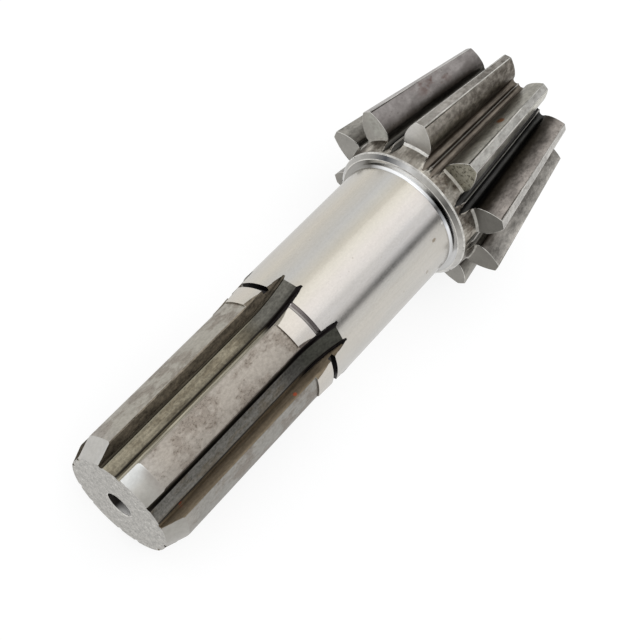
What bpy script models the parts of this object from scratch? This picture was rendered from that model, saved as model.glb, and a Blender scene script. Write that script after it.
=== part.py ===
"""Bevel pinion shaft: ten straight teeth, a ground journal and a six-lobed spline, in one piece.

The shaft is built as it is made: a turned blank, from which the tooth spaces, the spline
grooves and the centre hole are cut. It is modelled along its own +Z, from the spline's end
face towards the toe of the teeth, with its own +X in the middle of a tooth space. It then
lies down on two neighbouring teeth and on the end of the spline, on the plane z = 0.
"""
import math

import bmesh
import bpy
from mathutils import Vector

MM = 0.001

# Journal, with the groove for its retaining ring
JOURNAL_RADIUS = 17.5 * MM
BAND_LENGTH = 5.8 * MM
RING_GROOVE_WIDTH = 1.7 * MM
RING_GROOVE_DEPTH = 1.0 * MM
JOURNAL_LENGTH = 49.2 * MM

# Spline
SPLINE_COUNT = 6
SPLINE_STEP = 0.45 * MM
LAND_HEIGHT = 2.35 * MM
LAND_WIDTH_PER_RADIUS = 0.51
SPLINE_LENGTH = 54.0 * MM
FULL_DEPTH_LENGTH = 51.9 * MM
GROOVE_CUTTER_RADIUS = 35.0 * MM
LAND_CHAMFER = 0.35 * MM
RELIEF_WIDTH = 1.25 * MM
RELIEF_DEPTH = 0.5 * MM
SPLINE_PHASE = math.radians(10.7)

# Spline end face
END_CHAMFER_DEPTH = 2.15 * MM
END_CHAMFER_LENGTH = 5.35 * MM
HOLE_RADIUS = 3.65 * MM
HOLE_DEPTH = 24.0 * MM
HOLE_POINT_ANGLE = math.radians(118.0)

# Shoulder and neck
UNDERCUT_WIDTH = 1.2 * MM
UNDERCUT_DEPTH = 0.6 * MM
SHOULDER_HEIGHT = 1.8 * MM
COLLAR_CHAMFER_DEPTH = 1.25 * MM
COLLAR_CHAMFER_LENGTH = 1.3 * MM
NECK_LENGTH = 5.3 * MM
NECK_RISE = 0.5 * MM

# Teeth, with their sizes given at the heel, the large end beside the neck
TOOTH_COUNT = 10
MODULE = 5.0 * MM
PRESSURE_ANGLE = math.radians(26.9)
ADDENDUM_PER_MODULE = 0.86
DEDENDUM_PER_MODULE = 1.01
CHANNEL_RADIUS_PER_MODULE = 0.28
CHANNEL_OFFSET_PER_MODULE = 0.26
BACKLASH = 0.05 * MM
TOOTH_LENGTH = 42.9 * MM
CONE_LENGTH = 170.3 * MM
FACE_LEAN = math.radians(6.9)
HUB_INSET = 0.4 * MM

# Clearance of the cutters past the faces that they cut through
OVERCUT = 1.5 * MM

# Fineness of the round faces
TURNED_SEGMENTS = 90
CHANNEL_STEPS = 5
FLANK_STEPS = 7
RUN_OUT_STEPS = 9

# Radii that follow from the journal
SPLINE_RADIUS = JOURNAL_RADIUS - SPLINE_STEP
SPLINE_ROOT_RADIUS = SPLINE_RADIUS - LAND_HEIGHT
LAND_WIDTH = SPLINE_RADIUS * LAND_WIDTH_PER_RADIUS
END_FACE_RADIUS = SPLINE_RADIUS - END_CHAMFER_DEPTH
SHOULDER_FACE_RADIUS = JOURNAL_RADIUS + SHOULDER_HEIGHT
COLLAR_RADIUS = SHOULDER_FACE_RADIUS + COLLAR_CHAMFER_DEPTH
NECK_END_RADIUS = COLLAR_RADIUS + NECK_RISE

# Tooth radii at the heel
PITCH_RADIUS = MODULE * TOOTH_COUNT / 2
HEEL_TIP_RADIUS = PITCH_RADIUS + MODULE * ADDENDUM_PER_MODULE
BASE_RADIUS = PITCH_RADIUS * math.cos(PRESSURE_ANGLE)
ROOT_RADIUS = PITCH_RADIUS - MODULE * DEDENDUM_PER_MODULE
CHANNEL_RADIUS = MODULE * CHANNEL_RADIUS_PER_MODULE
CHANNEL_OFFSET = MODULE * CHANNEL_OFFSET_PER_MODULE

# Stations along the shaft, measured from the spline's end face
BAND_END = SPLINE_LENGTH + BAND_LENGTH
RING_GROOVE_END = BAND_END + RING_GROOVE_WIDTH
JOURNAL_END = RING_GROOVE_END + JOURNAL_LENGTH
SHOULDER = JOURNAL_END + UNDERCUT_WIDTH
COLLAR = SHOULDER + COLLAR_CHAMFER_LENGTH
NECK_END = COLLAR + NECK_LENGTH
HEEL = NECK_END + (HEEL_TIP_RADIUS - NECK_END_RADIUS) * math.tan(FACE_LEAN)
TOE = HEEL + TOOTH_LENGTH
APEX = HEEL + CONE_LENGTH


def cone_scale(station):
    """Size of the teeth at a station, as a share of their size at the heel."""
    return (APEX - station) / CONE_LENGTH


TOE_TIP_RADIUS = HEEL_TIP_RADIUS * cone_scale(TOE)
HUB_RADIUS = ROOT_RADIUS * cone_scale(TOE) - HUB_INSET
HUB_FACE = TOE - (TOE_TIP_RADIUS - HUB_RADIUS) * math.tan(FACE_LEAN)


def involute(radius):
    """Angle by which an involute flank has turned at a radius outside its base circle."""
    pressure = math.acos(BASE_RADIUS / radius)
    return math.tan(pressure) - pressure


def tooth_half_angle(radius):
    """Half the angle that a tooth fills at a radius, in the heel section."""
    at_pitch = (math.pi * MODULE / 2 - BACKLASH) / (2 * PITCH_RADIUS)
    return at_pitch + involute(PITCH_RADIUS) - involute(radius)


def polar(radius, angle):
    """Point of a cutter's section: across the cut, and outwards from the shaft's axis."""
    return (radius * math.sin(angle), radius * math.cos(angle))


def arc(centre, radius, start, end, steps):
    """Points on an arc, with its angles measured from the outward direction."""
    points = []
    for step in range(steps + 1):
        angle = start + (end - start) * step / steps
        points.append((centre[0] + radius * math.sin(angle), centre[1] + radius * math.cos(angle)))
    return points


def mirrored_outline(half):
    """Closed outline from its right half, whose first point is on the middle line."""
    left = [(-x, y) for x, y in reversed(half[1:])]
    return left + half


def tooth_space_outline():
    """Heel section of a tooth space: two channels with a ridge between them, then the flanks."""
    half_pitch = math.pi / TOOTH_COUNT
    channel_centre = (CHANNEL_OFFSET, ROOT_RADIUS + CHANNEL_RADIUS)
    ridge_angle = math.pi + math.asin(CHANNEL_OFFSET / CHANNEL_RADIUS)
    half = arc(channel_centre, CHANNEL_RADIUS, ridge_angle, math.pi / 2, CHANNEL_STEPS)
    rim = HEEL_TIP_RADIUS + OVERCUT
    for step in range(FLANK_STEPS + 1):
        radius = BASE_RADIUS + (rim - BASE_RADIUS) * step / FLANK_STEPS
        half.append(polar(radius, half_pitch - tooth_half_angle(radius)))
    return mirrored_outline(half)


def spline_groove_outline():
    """Section of a spline groove: a floor, its relieved corners, and the chamfered land sides."""
    half_pitch = math.pi / SPLINE_COUNT

    def from_land(across, along):
        """Turn a point from the frame of the land beside the groove to that of the groove."""
        x = along * math.sin(half_pitch) - across * math.cos(half_pitch)
        y = along * math.cos(half_pitch) + across * math.sin(half_pitch)
        return (x, y)

    def wall_point(radius):
        return from_land(LAND_WIDTH / 2, math.sqrt(radius ** 2 - (LAND_WIDTH / 2) ** 2))

    land_top = LAND_WIDTH / 2 - LAND_CHAMFER
    chamfer_start = math.sqrt(SPLINE_RADIUS ** 2 - land_top ** 2) - LAND_CHAMFER
    chamfer_reach = JOURNAL_RADIUS + OVERCUT - chamfer_start
    relief_root = SPLINE_ROOT_RADIUS - RELIEF_DEPTH
    wall_foot = wall_point(SPLINE_ROOT_RADIUS)[0]
    relief_edge = wall_foot - RELIEF_WIDTH
    half = [(0.0, SPLINE_ROOT_RADIUS)]
    half.append(polar(SPLINE_ROOT_RADIUS, math.asin(relief_edge / SPLINE_ROOT_RADIUS)))
    half.append(polar(relief_root, math.asin((relief_edge + RELIEF_DEPTH) / relief_root)))
    half.append(polar(relief_root, math.asin((wall_foot - RELIEF_DEPTH / 3) / relief_root)))
    half.append(wall_point(relief_root + RELIEF_DEPTH / 2))
    half.append(from_land(LAND_WIDTH / 2, chamfer_start))
    half.append(from_land(LAND_WIDTH / 2 - chamfer_reach, chamfer_start + chamfer_reach))
    half.append((half[-1][0], JOURNAL_RADIUS + OVERCUT))
    return mirrored_outline(half)


def ring_of_faces(bm, first, second):
    """Quads between two closed loops with the same number of points."""
    count = len(first)
    for i in range(count):
        j = (i + 1) % count
        bm.faces.new((first[i], first[j], second[j], second[i]))


def new_object(name, bm):
    """Put a finished bmesh, with its faces pointing out, into a new object."""
    bmesh.ops.recalc_face_normals(bm, faces=bm.faces)
    mesh = bpy.data.meshes.new(name)
    bm.to_mesh(mesh)
    bm.free()
    obj = bpy.data.objects.new(name, mesh)
    bpy.context.collection.objects.link(obj)
    return obj


def turned_solid(name, profile):
    """Solid of revolution about Z, from its (station, radius) points between two end faces."""
    bm = bmesh.new()
    rings = []
    for station, radius in profile:
        ring = []
        for i in range(TURNED_SEGMENTS):
            angle = 2 * math.pi * (i + 0.5) / TURNED_SEGMENTS
            ring.append(bm.verts.new((radius * math.cos(angle), radius * math.sin(angle), station)))
        rings.append(ring)
    for first, second in zip(rings, rings[1:]):
        ring_of_faces(bm, first, second)
    bm.faces.new(rings[0])
    bm.faces.new(rings[-1])
    return new_object(name, bm)


def add_cut(bm, outline, stations, scale, shift, angle):
    """One lofted cut: the outline at each station, scaled, moved outwards and turned about Z."""
    outward = Vector((math.cos(angle), math.sin(angle), 0.0))
    across = Vector((-math.sin(angle), math.cos(angle), 0.0))
    loops = []
    for station in stations:
        size = scale(station)
        lift = shift(station)
        loop = []
        for x, y in outline:
            point = across * (x * size) + outward * (y * size + lift)
            point.z = station
            loop.append(bm.verts.new(point))
        loops.append(loop)
    for first, second in zip(loops, loops[1:]):
        ring_of_faces(bm, first, second)
    bm.faces.new(loops[0])
    bm.faces.new(loops[-1])


def hide_as_cutter(obj):
    obj.hide_render = True
    obj.display_type = 'WIRE'


def spline_cutter():
    """All the spline grooves: level at first, then rising along the rim of the round cutter."""
    climb = JOURNAL_RADIUS - SPLINE_ROOT_RADIUS + RELIEF_DEPTH + OVERCUT / 3
    run_out = math.sqrt(GROOVE_CUTTER_RADIUS ** 2 - (GROOVE_CUTTER_RADIUS - climb) ** 2)

    def lift(station):
        past = max(0.0, station - FULL_DEPTH_LENGTH)
        return GROOVE_CUTTER_RADIUS - math.sqrt(GROOVE_CUTTER_RADIUS ** 2 - past ** 2)

    stations = [-OVERCUT]
    for step in range(RUN_OUT_STEPS + 1):
        stations.append(FULL_DEPTH_LENGTH + run_out * step / RUN_OUT_STEPS)
    bm = bmesh.new()
    for i in range(SPLINE_COUNT):
        angle = SPLINE_PHASE + 2 * math.pi * (i + 0.5) / SPLINE_COUNT
        add_cut(bm, spline_groove_outline(), stations, lambda station: 1.0, lift, angle)
    cutter = new_object("spline_cutter", bm)
    hide_as_cutter(cutter)
    return cutter


def tooth_cutter():
    """All the tooth spaces, tapering to the apex and running out over the neck."""
    stations = [COLLAR - OVERCUT, TOE + OVERCUT]
    bm = bmesh.new()
    for i in range(TOOTH_COUNT):
        angle = 2 * math.pi * i / TOOTH_COUNT
        add_cut(bm, tooth_space_outline(), stations, cone_scale, lambda station: 0.0, angle)
    cutter = new_object("tooth_cutter", bm)
    hide_as_cutter(cutter)
    return cutter


def hole_cutter():
    """Drilled centre hole, with the point of the drill at its bottom."""
    point_length = HOLE_RADIUS / math.tan(HOLE_POINT_ANGLE / 2)
    point_radius = HOLE_RADIUS / 20
    profile = [
        (-OVERCUT, HOLE_RADIUS),
        (HOLE_DEPTH, HOLE_RADIUS),
        (HOLE_DEPTH + point_length, point_radius),
    ]
    cutter = turned_solid("hole_cutter", profile)
    hide_as_cutter(cutter)
    return cutter


def turned_blank():
    """The shaft as it leaves the lathe, before anything is cut into it."""
    groove_floor = JOURNAL_RADIUS - RING_GROOVE_DEPTH
    undercut_floor = JOURNAL_RADIUS - UNDERCUT_DEPTH
    profile = [
        (0.0, END_FACE_RADIUS),
        (END_CHAMFER_LENGTH, SPLINE_RADIUS),
        (SPLINE_LENGTH, SPLINE_RADIUS),
        (SPLINE_LENGTH, JOURNAL_RADIUS),
        (BAND_END, JOURNAL_RADIUS),
        (BAND_END, groove_floor),
        (RING_GROOVE_END, groove_floor),
        (RING_GROOVE_END, JOURNAL_RADIUS),
        (JOURNAL_END, JOURNAL_RADIUS),
        (JOURNAL_END, undercut_floor),
        (SHOULDER, undercut_floor),
        (SHOULDER, SHOULDER_FACE_RADIUS),
        (COLLAR, COLLAR_RADIUS),
        (NECK_END, NECK_END_RADIUS),
        (HEEL, HEEL_TIP_RADIUS),
        (TOE, TOE_TIP_RADIUS),
        (HUB_FACE, HUB_RADIUS),
    ]
    return turned_solid("pinion_shaft", profile)


def machined_steel():
    material = bpy.data.materials.new("machined_steel")
    material.use_nodes = True
    shader = material.node_tree.nodes["Principled BSDF"]
    shader.inputs["Base Color"].default_value = (0.46, 0.44, 0.41, 1.0)
    shader.inputs["Metallic"].default_value = 1.0
    shader.inputs["Roughness"].default_value = 0.35
    return material


def lay_down(shaft):
    """Tip the shaft until two teeth and the end of the spline touch the plane z = 0."""
    support_angle = math.pi / TOOTH_COUNT - tooth_half_angle(HEEL_TIP_RADIUS)
    heel_drop = HEEL_TIP_RADIUS * math.cos(support_angle)
    spline_drop = SPLINE_RADIUS * math.cos(math.pi / TURNED_SEGMENTS)
    rise = math.atan2(heel_drop - spline_drop, HEEL - END_CHAMFER_LENGTH)
    height = spline_drop * math.cos(rise) - END_CHAMFER_LENGTH * math.sin(rise)
    toe_overhang = TOE_TIP_RADIUS * math.cos(support_angle) * math.sin(rise)
    end_overhang = END_FACE_RADIUS * math.sin(rise)
    shaft.rotation_euler = (0.0, math.pi / 2 - rise, 0.0)
    shaft.location = ((end_overhang - toe_overhang - TOE * math.cos(rise)) / 2, 0.0, height)


def main():
    for obj in list(bpy.data.objects):
        bpy.data.objects.remove(obj, do_unlink=True)
    shaft = turned_blank()
    for cutter in (tooth_cutter(), spline_cutter(), hole_cutter()):
        cutter.parent = shaft
        cut = shaft.modifiers.new(cutter.name, 'BOOLEAN')
        cut.operation = 'DIFFERENCE'
        cut.solver = 'EXACT'
        cut.object = cutter
    shaft.data.materials.append(machined_steel())
    shaft.data.shade_smooth()
    shaft.data.set_sharp_from_angle(angle=math.radians(30.0))
    lay_down(shaft)


main()
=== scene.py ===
"""Looks of a bevel pinion shaft: its finely cut body, its steel finishes, and the studio round it.

Sizes are in millimetres along the shaft's own axis, from the spline's end face towards the
toe of the teeth, until LAID_DOWN puts the shaft on the floor in metres.
"""
import math

import bmesh
import bpy
from mathutils import Euler, Matrix, Vector

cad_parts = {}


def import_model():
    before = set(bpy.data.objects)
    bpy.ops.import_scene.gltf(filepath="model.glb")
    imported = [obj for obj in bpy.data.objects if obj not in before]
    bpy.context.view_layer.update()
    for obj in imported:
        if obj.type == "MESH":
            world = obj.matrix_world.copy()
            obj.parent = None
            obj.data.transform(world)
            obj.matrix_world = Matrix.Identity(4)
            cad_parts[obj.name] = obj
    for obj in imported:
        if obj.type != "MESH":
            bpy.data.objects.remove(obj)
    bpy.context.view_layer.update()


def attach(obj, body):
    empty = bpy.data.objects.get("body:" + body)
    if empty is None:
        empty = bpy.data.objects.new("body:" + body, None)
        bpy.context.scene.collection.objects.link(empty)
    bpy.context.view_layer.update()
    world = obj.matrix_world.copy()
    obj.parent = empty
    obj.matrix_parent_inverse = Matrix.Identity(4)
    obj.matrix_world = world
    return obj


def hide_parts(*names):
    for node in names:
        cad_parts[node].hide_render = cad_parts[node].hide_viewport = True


MM = 0.001

# Journal and its retaining-ring groove
JOURNAL_RADIUS = 17.5
BAND_LENGTH = 5.8
RING_GROOVE_WIDTH = 1.7
RING_GROOVE_DEPTH = 1.0
JOURNAL_LENGTH = 49.2

# Spline
SPLINE_COUNT = 6
SPLINE_RADIUS = 17.05
SPLINE_ROOT_RADIUS = 14.7
LAND_WIDTH = 8.6955
SPLINE_LENGTH = 54.0
FULL_DEPTH_LENGTH = 51.9
GROOVE_CUTTER_RADIUS = 35.0
LAND_CHAMFER = 0.35
RELIEF_WIDTH = 1.25
RELIEF_DEPTH = 0.5
RELIEF_CORNER_LIFT = 0.09
SPLINE_PHASE = math.radians(10.7)

# Spline end
END_FACE_RADIUS = 14.9
END_CHAMFER_LENGTH = 5.35
HOLE_RADIUS = 3.65
HOLE_DEPTH = 24.0
HOLE_POINT_ANGLE = math.radians(118.0)
HOLE_POINT_RADIUS = HOLE_RADIUS / 40

# Shoulder and neck
UNDERCUT_WIDTH = 1.2
UNDERCUT_DEPTH = 0.6
SHOULDER_FACE_RADIUS = 19.3
COLLAR_RADIUS = 20.55
COLLAR_CHAMFER_LENGTH = 1.3
NECK_LENGTH = 5.3
NECK_END_RADIUS = 21.05

# Teeth, at the heel
TOOTH_COUNT = 10
PITCH_RADIUS = 25.0
HEEL_TIP_RADIUS = 29.3
ROOT_RADIUS = 19.95
CHANNEL_RADIUS = 1.4
CHANNEL_OFFSET = 1.3
PRESSURE_ANGLE = math.radians(26.9)
BACKLASH = 0.05
TOOTH_LENGTH = 42.9
CONE_LENGTH = 170.3
FACE_LEAN = math.radians(6.9)
HUB_INSET = 0.4

# Stations
HOLE_END = HOLE_DEPTH + HOLE_RADIUS / math.tan(HOLE_POINT_ANGLE / 2)
BAND_END = SPLINE_LENGTH + BAND_LENGTH
RING_GROOVE_END = BAND_END + RING_GROOVE_WIDTH
JOURNAL_END = RING_GROOVE_END + JOURNAL_LENGTH
SHOULDER = JOURNAL_END + UNDERCUT_WIDTH
COLLAR = SHOULDER + COLLAR_CHAMFER_LENGTH
NECK_END = COLLAR + NECK_LENGTH
HEEL = NECK_END + (HEEL_TIP_RADIUS - NECK_END_RADIUS) * math.tan(FACE_LEAN)
TOE = HEEL + TOOTH_LENGTH
APEX = HEEL + CONE_LENGTH
TOE_TIP_RADIUS = HEEL_TIP_RADIUS * (APEX - TOE) / CONE_LENGTH
HUB_RADIUS = ROOT_RADIUS * (APEX - TOE) / CONE_LENGTH - HUB_INSET
HUB_FACE = TOE - (TOE_TIP_RADIUS - HUB_RADIUS) * math.tan(FACE_LEAN)
BASE_RADIUS = PITCH_RADIUS * math.cos(PRESSURE_ANGLE)

# Steps of the round shapes, and how far the cutters reach past the steel
TURNED_SEGMENTS = 180
CHANNEL_STEPS = 12
FLANK_STEPS = 16
GROOVE_FLOOR_STEPS = 4
RUN_OUT_STEPS = 24
CORNER_STEPS = 6
OVERCUT = 1.5

# Edges, as broken or rubbed round: the widest, and for the zones that meet in an edge,
# the share that it has of that and the finish it takes
EDGE_ROUNDING = 0.6
ROUNDING_SEGMENTS = 4
SHARP_ENOUGH_TO_ROUND = math.radians(20)
SHARP_SHADING = math.radians(35)
EDGES = (
    ("toe_face tooth_root", 0.0, "toe_face"),
    ("neck tooth_root", 0.5, "neck"),
    ("heel_fillet", 0.15, "heel_fillet"),
    ("groove_floor", 0.0, "groove_floor"),
    ("groove_relief", 0.0, "groove_relief"),
    ("end_chamfer spline_land", 0.25, "end_chamfer"),
    ("ring_groove idle_wall", 0.0, "ring_groove"),
    ("ring_groove driven_wall", 0.0, "ring_groove"),
    ("drilled_hole", 0.5, "worn_edge"),
    ("heel_face", 0.18, "worn_edge"),
    ("tip_land toe_face", 0.3, "tooth_edge"),
    ("toe_face", 0.3, "tooth_edge"),
    ("tip_land", 0.4, "tooth_edge"),
    ("tooth_root", 0.3, "tooth_root"),
    ("end_face", 0.2, "end_chamfer"),
    ("end_chamfer", 0.2, "end_chamfer"),
    ("collar_rim neck", 0.5, "worn_edge"),
    ("collar_rim", 0.25, "worn_edge"),
    ("undercut", 0.2, "worn_edge"),
    ("ring_groove", 0.08, "journal"),
    ("journal", 0.12, "journal"),
    ("spline_land", 0.2, "spline_land"),
)
HEEL_FILLET = 0.85
UNDERCUT_FILLET = 0.9

# Points this close are made one, and edges this short are closed up
SAME_POINT = 0.004
NO_LENGTH = 0.002

# What tells the zones apart: distances from a surface or a step, and parts of a face's normal
ON_SURFACE = 0.03
ON_TIP = 0.06
AT_STEP = 0.001
BELOW_FLOOR = 0.06
NEAR_FLOOR = 0.2
FLANK_FOOT = 0.3
GROOVES_END = 70.0
TOE_FACE_REACH = 3.0
ACROSS_AXIS = 0.95
HEEL_ACROSS_AXIS = 0.97
NECK_ACROSS_AXIS = 0.15
ROUND_THE_AXIS = 0.05
LEVEL_FLOOR = 0.45
ROUND = 0.999
FLAT = 0.99
TURNED_ZONES = (
    (SPLINE_LENGTH + AT_STEP, "spline_land"),
    (BAND_END - AT_STEP, "journal"),
    (RING_GROOVE_END + AT_STEP, "ring_groove"),
    (JOURNAL_END - AT_STEP, "journal"),
    (SHOULDER - UNDERCUT_FILLET + AT_STEP, "undercut"),
    (SHOULDER + AT_STEP, "shoulder_face"),
)

# Where the shaft lies: its rise towards the teeth, and the place of its spline end
RISE = math.radians(5.6153)
PLACE = Vector((-0.08111497, 0.0, 0.016434356))
TURN = Euler((0.0, math.pi / 2 - RISE, 0.0))
LAID_DOWN = Matrix.Translation(PLACE) @ TURN.to_matrix().to_4x4() @ Matrix.Scale(MM, 4)


# ---- Shapes ----


def polar(radius, angle):
    """Point of a cutter's section: across the cut, and outwards from the axis."""
    return (radius * math.sin(angle), radius * math.cos(angle))


def arc(centre, radius, start, end, steps):
    points = []
    for step in range(steps + 1):
        x, y = polar(radius, start + (end - start) * step / steps)
        points.append((centre[0] + x, centre[1] + y))
    return points


def mirrored(half):
    """Closed outline from its right half, whose first point is on the middle line."""
    return [(-x, y) for x, y in reversed(half[1:])] + half


def involute(radius):
    pressure = math.acos(BASE_RADIUS / radius)
    return math.tan(pressure) - pressure


def tooth_half_angle(radius):
    at_pitch = (math.pi * PITCH_RADIUS / TOOTH_COUNT - BACKLASH) / (2 * PITCH_RADIUS)
    return at_pitch + involute(PITCH_RADIUS) - involute(radius)


def tooth_space_outline():
    """Heel section of a tooth space: two channels, the ridge between them, and the flanks."""
    half_pitch = math.pi / TOOTH_COUNT
    centre = (CHANNEL_OFFSET, ROOT_RADIUS + CHANNEL_RADIUS)
    ridge = math.pi + math.asin(CHANNEL_OFFSET / CHANNEL_RADIUS)
    half = arc(centre, CHANNEL_RADIUS, ridge, math.pi / 2, CHANNEL_STEPS)
    rim = HEEL_TIP_RADIUS + OVERCUT
    for step in range(FLANK_STEPS + 1):
        radius = BASE_RADIUS + (rim - BASE_RADIUS) * step / FLANK_STEPS
        half.append(polar(radius, half_pitch - tooth_half_angle(radius)))
    return mirrored(half)


def spline_groove_outline():
    """Section of a spline groove: a round floor, relieved corners and chamfered land sides."""
    half_pitch = math.pi / SPLINE_COUNT

    def from_land(across, along):
        x = along * math.sin(half_pitch) - across * math.cos(half_pitch)
        y = along * math.cos(half_pitch) + across * math.sin(half_pitch)
        return (x, y)

    def wall_point(radius):
        return from_land(LAND_WIDTH / 2, math.sqrt(radius ** 2 - (LAND_WIDTH / 2) ** 2))

    land_top = LAND_WIDTH / 2 - LAND_CHAMFER
    chamfer_start = math.sqrt(SPLINE_RADIUS ** 2 - land_top ** 2) - LAND_CHAMFER
    chamfer_reach = JOURNAL_RADIUS + OVERCUT - chamfer_start
    relief_root = SPLINE_ROOT_RADIUS - RELIEF_DEPTH
    wall_foot = wall_point(SPLINE_ROOT_RADIUS)[0]
    relief_edge = wall_foot - RELIEF_WIDTH
    floor_end = math.asin(relief_edge / SPLINE_ROOT_RADIUS)
    half = arc((0.0, 0.0), SPLINE_ROOT_RADIUS, 0.0, floor_end, GROOVE_FLOOR_STEPS)
    for across, lift in (
        (relief_edge + RELIEF_DEPTH, 0.0),
        (wall_foot - RELIEF_DEPTH / 2, 0.0),
        (wall_foot - RELIEF_DEPTH / 6, RELIEF_CORNER_LIFT),
    ):
        half.append(polar(relief_root + lift, math.asin(across / relief_root)))
    half.append(wall_point(relief_root + RELIEF_DEPTH / 2))
    half.append(from_land(LAND_WIDTH / 2, chamfer_start))
    half.append(from_land(LAND_WIDTH / 2 - chamfer_reach, chamfer_start + chamfer_reach))
    half.append((half[-1][0], JOURNAL_RADIUS + OVERCUT))
    return mirrored(half)


def in_scene(name, data):
    obj = bpy.data.objects.new(name, data)
    bpy.context.scene.collection.objects.link(obj)
    return obj


def discard(obj):
    mesh = obj.data
    bpy.data.objects.remove(obj)
    bpy.data.meshes.remove(mesh)


def new_object(name, bm):
    bmesh.ops.recalc_face_normals(bm, faces=bm.faces)
    mesh = bpy.data.meshes.new(name)
    bm.to_mesh(mesh)
    bm.free()
    return in_scene(name, mesh)


def loft(name, loops):
    """Closed skin over loops with the same number of points, with both ends filled."""
    bm = bmesh.new()
    rings = [[bm.verts.new(point) for point in loop] for loop in loops]
    for first, second in zip(rings, rings[1:]):
        for i in range(len(first)):
            j = (i + 1) % len(first)
            bm.faces.new((first[i], first[j], second[j], second[i]))
    bm.faces.new(rings[0])
    bm.faces.new(rings[-1])
    return new_object(name, bm)


def turned(name, profile):
    """Solid of revolution from its (station, radius) points."""
    loops = []
    for station, radius in profile:
        loop = []
        for i in range(TURNED_SEGMENTS):
            angle = 2 * math.pi * (i + 0.5) / TURNED_SEGMENTS
            loop.append((radius * math.cos(angle), radius * math.sin(angle), station))
        loops.append(loop)
    return loft(name, loops)


def round_corner(station, floor, radius, turn):
    """Profile points of a corner that turns outwards from a level floor at a station."""
    points = []
    for step in range(CORNER_STEPS + 1):
        angle = turn * step / CORNER_STEPS
        along, out = radius * math.sin(angle), radius * (1.0 - math.cos(angle))
        points.append((station + along, floor + out))
    return points


def turned_blank():
    """The shaft as it leaves the lathe."""
    groove_floor = JOURNAL_RADIUS - RING_GROOVE_DEPTH
    undercut_floor = JOURNAL_RADIUS - UNDERCUT_DEPTH
    turn_in = math.pi / 2 - FACE_LEAN
    heel_reach = HEEL_FILLET * math.tan(turn_in / 2)
    profile = [
        (0.0, END_FACE_RADIUS),
        (END_CHAMFER_LENGTH, SPLINE_RADIUS),
        (SPLINE_LENGTH, SPLINE_RADIUS),
        (SPLINE_LENGTH, JOURNAL_RADIUS),
        (BAND_END, JOURNAL_RADIUS),
        (BAND_END, groove_floor),
        (RING_GROOVE_END, groove_floor),
        (RING_GROOVE_END, JOURNAL_RADIUS),
        (JOURNAL_END, JOURNAL_RADIUS),
        (JOURNAL_END, undercut_floor),
        *round_corner(SHOULDER - UNDERCUT_FILLET, undercut_floor, UNDERCUT_FILLET, math.pi / 2),
        (SHOULDER, SHOULDER_FACE_RADIUS),
        (COLLAR, COLLAR_RADIUS),
        *round_corner(NECK_END - heel_reach, NECK_END_RADIUS, HEEL_FILLET, turn_in),
        (HEEL, HEEL_TIP_RADIUS),
        (TOE, TOE_TIP_RADIUS),
        (HUB_FACE, HUB_RADIUS),
    ]
    return turned("shaft_blank", profile)


def groove_cutter():
    """One spline groove: level, then rising along the rim of the round cutter."""
    outline = spline_groove_outline()
    climb = JOURNAL_RADIUS - SPLINE_ROOT_RADIUS + RELIEF_DEPTH + OVERCUT / 3
    run_out = math.sqrt(GROOVE_CUTTER_RADIUS ** 2 - (GROOVE_CUTTER_RADIUS - climb) ** 2)
    rises = [(-OVERCUT, 0.0)]
    for step in range(RUN_OUT_STEPS + 1):
        past = run_out * step / RUN_OUT_STEPS
        lift = GROOVE_CUTTER_RADIUS - math.sqrt(GROOVE_CUTTER_RADIUS ** 2 - past ** 2)
        rises.append((FULL_DEPTH_LENGTH + past, lift))
    loops = [[(y + lift, x, station) for x, y in outline] for station, lift in rises]
    return loft("groove_cutter", loops)


def tooth_space_cutter():
    """One tooth space, tapering to the apex and running out over the neck."""
    outline = tooth_space_outline()
    loops = []
    for station in (COLLAR - OVERCUT, TOE + OVERCUT):
        size = (APEX - station) / CONE_LENGTH
        loops.append([(y * size, x * size, station) for x, y in outline])
    return loft("tooth_space_cutter", loops)


def centre_hole_cutter():
    ends = [(-OVERCUT, HOLE_RADIUS), (HOLE_DEPTH, HOLE_RADIUS), (HOLE_END, HOLE_POINT_RADIUS)]
    return turned("centre_hole_cutter", ends)


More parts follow.
